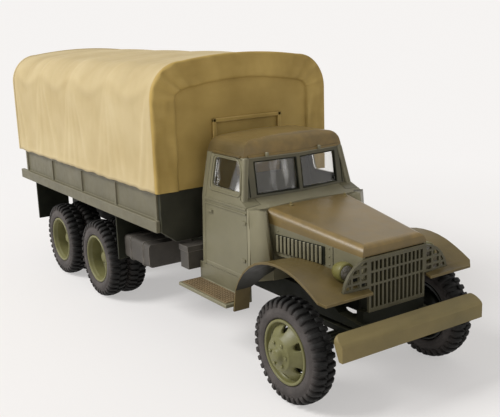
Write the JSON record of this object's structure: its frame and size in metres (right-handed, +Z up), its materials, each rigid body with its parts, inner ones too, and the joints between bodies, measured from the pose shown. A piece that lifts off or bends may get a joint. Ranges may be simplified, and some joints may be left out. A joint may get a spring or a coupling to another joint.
{
  "type": "scale model military cargo truck",
  "caption": "Unarmed tandem-axle military cargo truck as a painted plastic scale model, closed cab, moulded canvas cover over the load bed, wheels that roll.",
  "frame": {"origin": "on the ground, in the middle of the model's length and width", "axes": "+X forward to the bumper, +Y to the truck's left, +Z up"},
  "size_m": [0.1372, 0.0436, 0.0591],
  "materials": {
    "olive_body": "satin olive drab paint on polystyrene",
    "bumper_paint": "ochre olive paint with brushed streaks",
    "grille_paint": "olive drab paint, pale dry-brushed edges",
    "lamp_paint": "yellow olive paint",
    "clear_plastic": "clear moulded polystyrene",
    "canvas_moulding": "buff paint on a moulded cover, dry-brushed folds",
    "chassis_paint": "very dark green black paint",
    "tank_paint": "dark grey brown paint",
    "interior_paint": "dark olive paint",
    "wheel_paint": "light yellow green paint",
    "tyre": "warm black paint, paler dusty sidewall"
  },
  "bodies": {
    "truck": {"bed_floor": "chassis_paint", "bed_front": "olive_body", "bed_side_left": "olive_body", "bed_side_right": "olive_body", "bench_seat": "interior_paint", "bogie_springs": "chassis_paint", "cab_back": "olive_body", "cab_floor": "chassis_paint", "cab_glass": "clear_plastic", "cab_roof": "olive_body", "canvas_cover": "canvas_moulding", "canvas_front": "canvas_moulding", "canvas_rear": "canvas_moulding", "chassis_frame": "chassis_paint", "cowl": "olive_body", "dashboard": "interior_paint", "door_left": "olive_body", "door_right": "olive_body", "engine_block": "chassis_paint", "fender_left": "olive_body", "fender_right": "olive_body", "front_axle": "chassis_paint", "front_bumper": "bumper_paint", "front_springs": "chassis_paint", "fuel_tank": "tank_paint", "gearbox": "chassis_paint", "grille_guard": "grille_paint", "headlamp_lenses": "clear_plastic", "headlamps": "lamp_paint", "hood": "olive_body", "hood_sides": "olive_body", "mid_axle": "chassis_paint", "radiator": "chassis_paint", "rear_axle": "chassis_paint", "running_boards": "olive_body", "spare_tyre": "tyre", "spare_wheel": "wheel_paint", "splash_guards": "olive_body", "steering_wheel": "interior_paint", "tailgate": "olive_body", "tool_box": "tank_paint", "tow_pintle": "chassis_paint"},
    "front_left_wheel_set": {"front_left_wheel": "wheel_paint", "front_left_tyre": "tyre"},
    "front_right_wheel_set": {"front_right_wheel": "wheel_paint", "front_right_tyre": "tyre"},
    "mid_left_wheel_set": {"mid_left_wheel": "wheel_paint", "mid_left_tyre": "tyre"},
    "mid_right_wheel_set": {"mid_right_wheel": "wheel_paint", "mid_right_tyre": "tyre"},
    "rear_left_wheel_set": {"rear_left_wheel": "wheel_paint", "rear_left_tyre": "tyre"},
    "rear_right_wheel_set": {"rear_right_wheel": "wheel_paint", "rear_right_tyre": "tyre"}
  },
  "joints": [
    {"name": "front_left_spin", "type": "hinge", "parent": "truck", "child": "front_left_wheel_set", "pos_m": [0.0556, 0.0166, 0.0096], "axis": [0, 1, 0], "continuous": true},
    {"name": "front_right_spin", "type": "hinge", "parent": "truck", "child": "front_right_wheel_set", "pos_m": [0.0556, -0.0166, 0.0096], "axis": [0, 1, 0], "continuous": true},
    {"name": "mid_left_spin", "type": "hinge", "parent": "truck", "child": "mid_left_wheel_set", "pos_m": [-0.01935, 0.0164, 0.0096], "axis": [0, 1, 0], "continuous": true},
    {"name": "mid_right_spin", "type": "hinge", "parent": "truck", "child": "mid_right_wheel_set", "pos_m": [-0.01935, -0.0164, 0.0096], "axis": [0, 1, 0], "continuous": true},
    {"name": "rear_left_spin", "type": "hinge", "parent": "truck", "child": "rear_left_wheel_set", "pos_m": [-0.04335, 0.0164, 0.0096], "axis": [0, 1, 0], "continuous": true},
    {"name": "rear_right_spin", "type": "hinge", "parent": "truck", "child": "rear_right_wheel_set", "pos_m": [-0.04335, -0.0164, 0.0096], "axis": [0, 1, 0], "continuous": true}
  ]
}
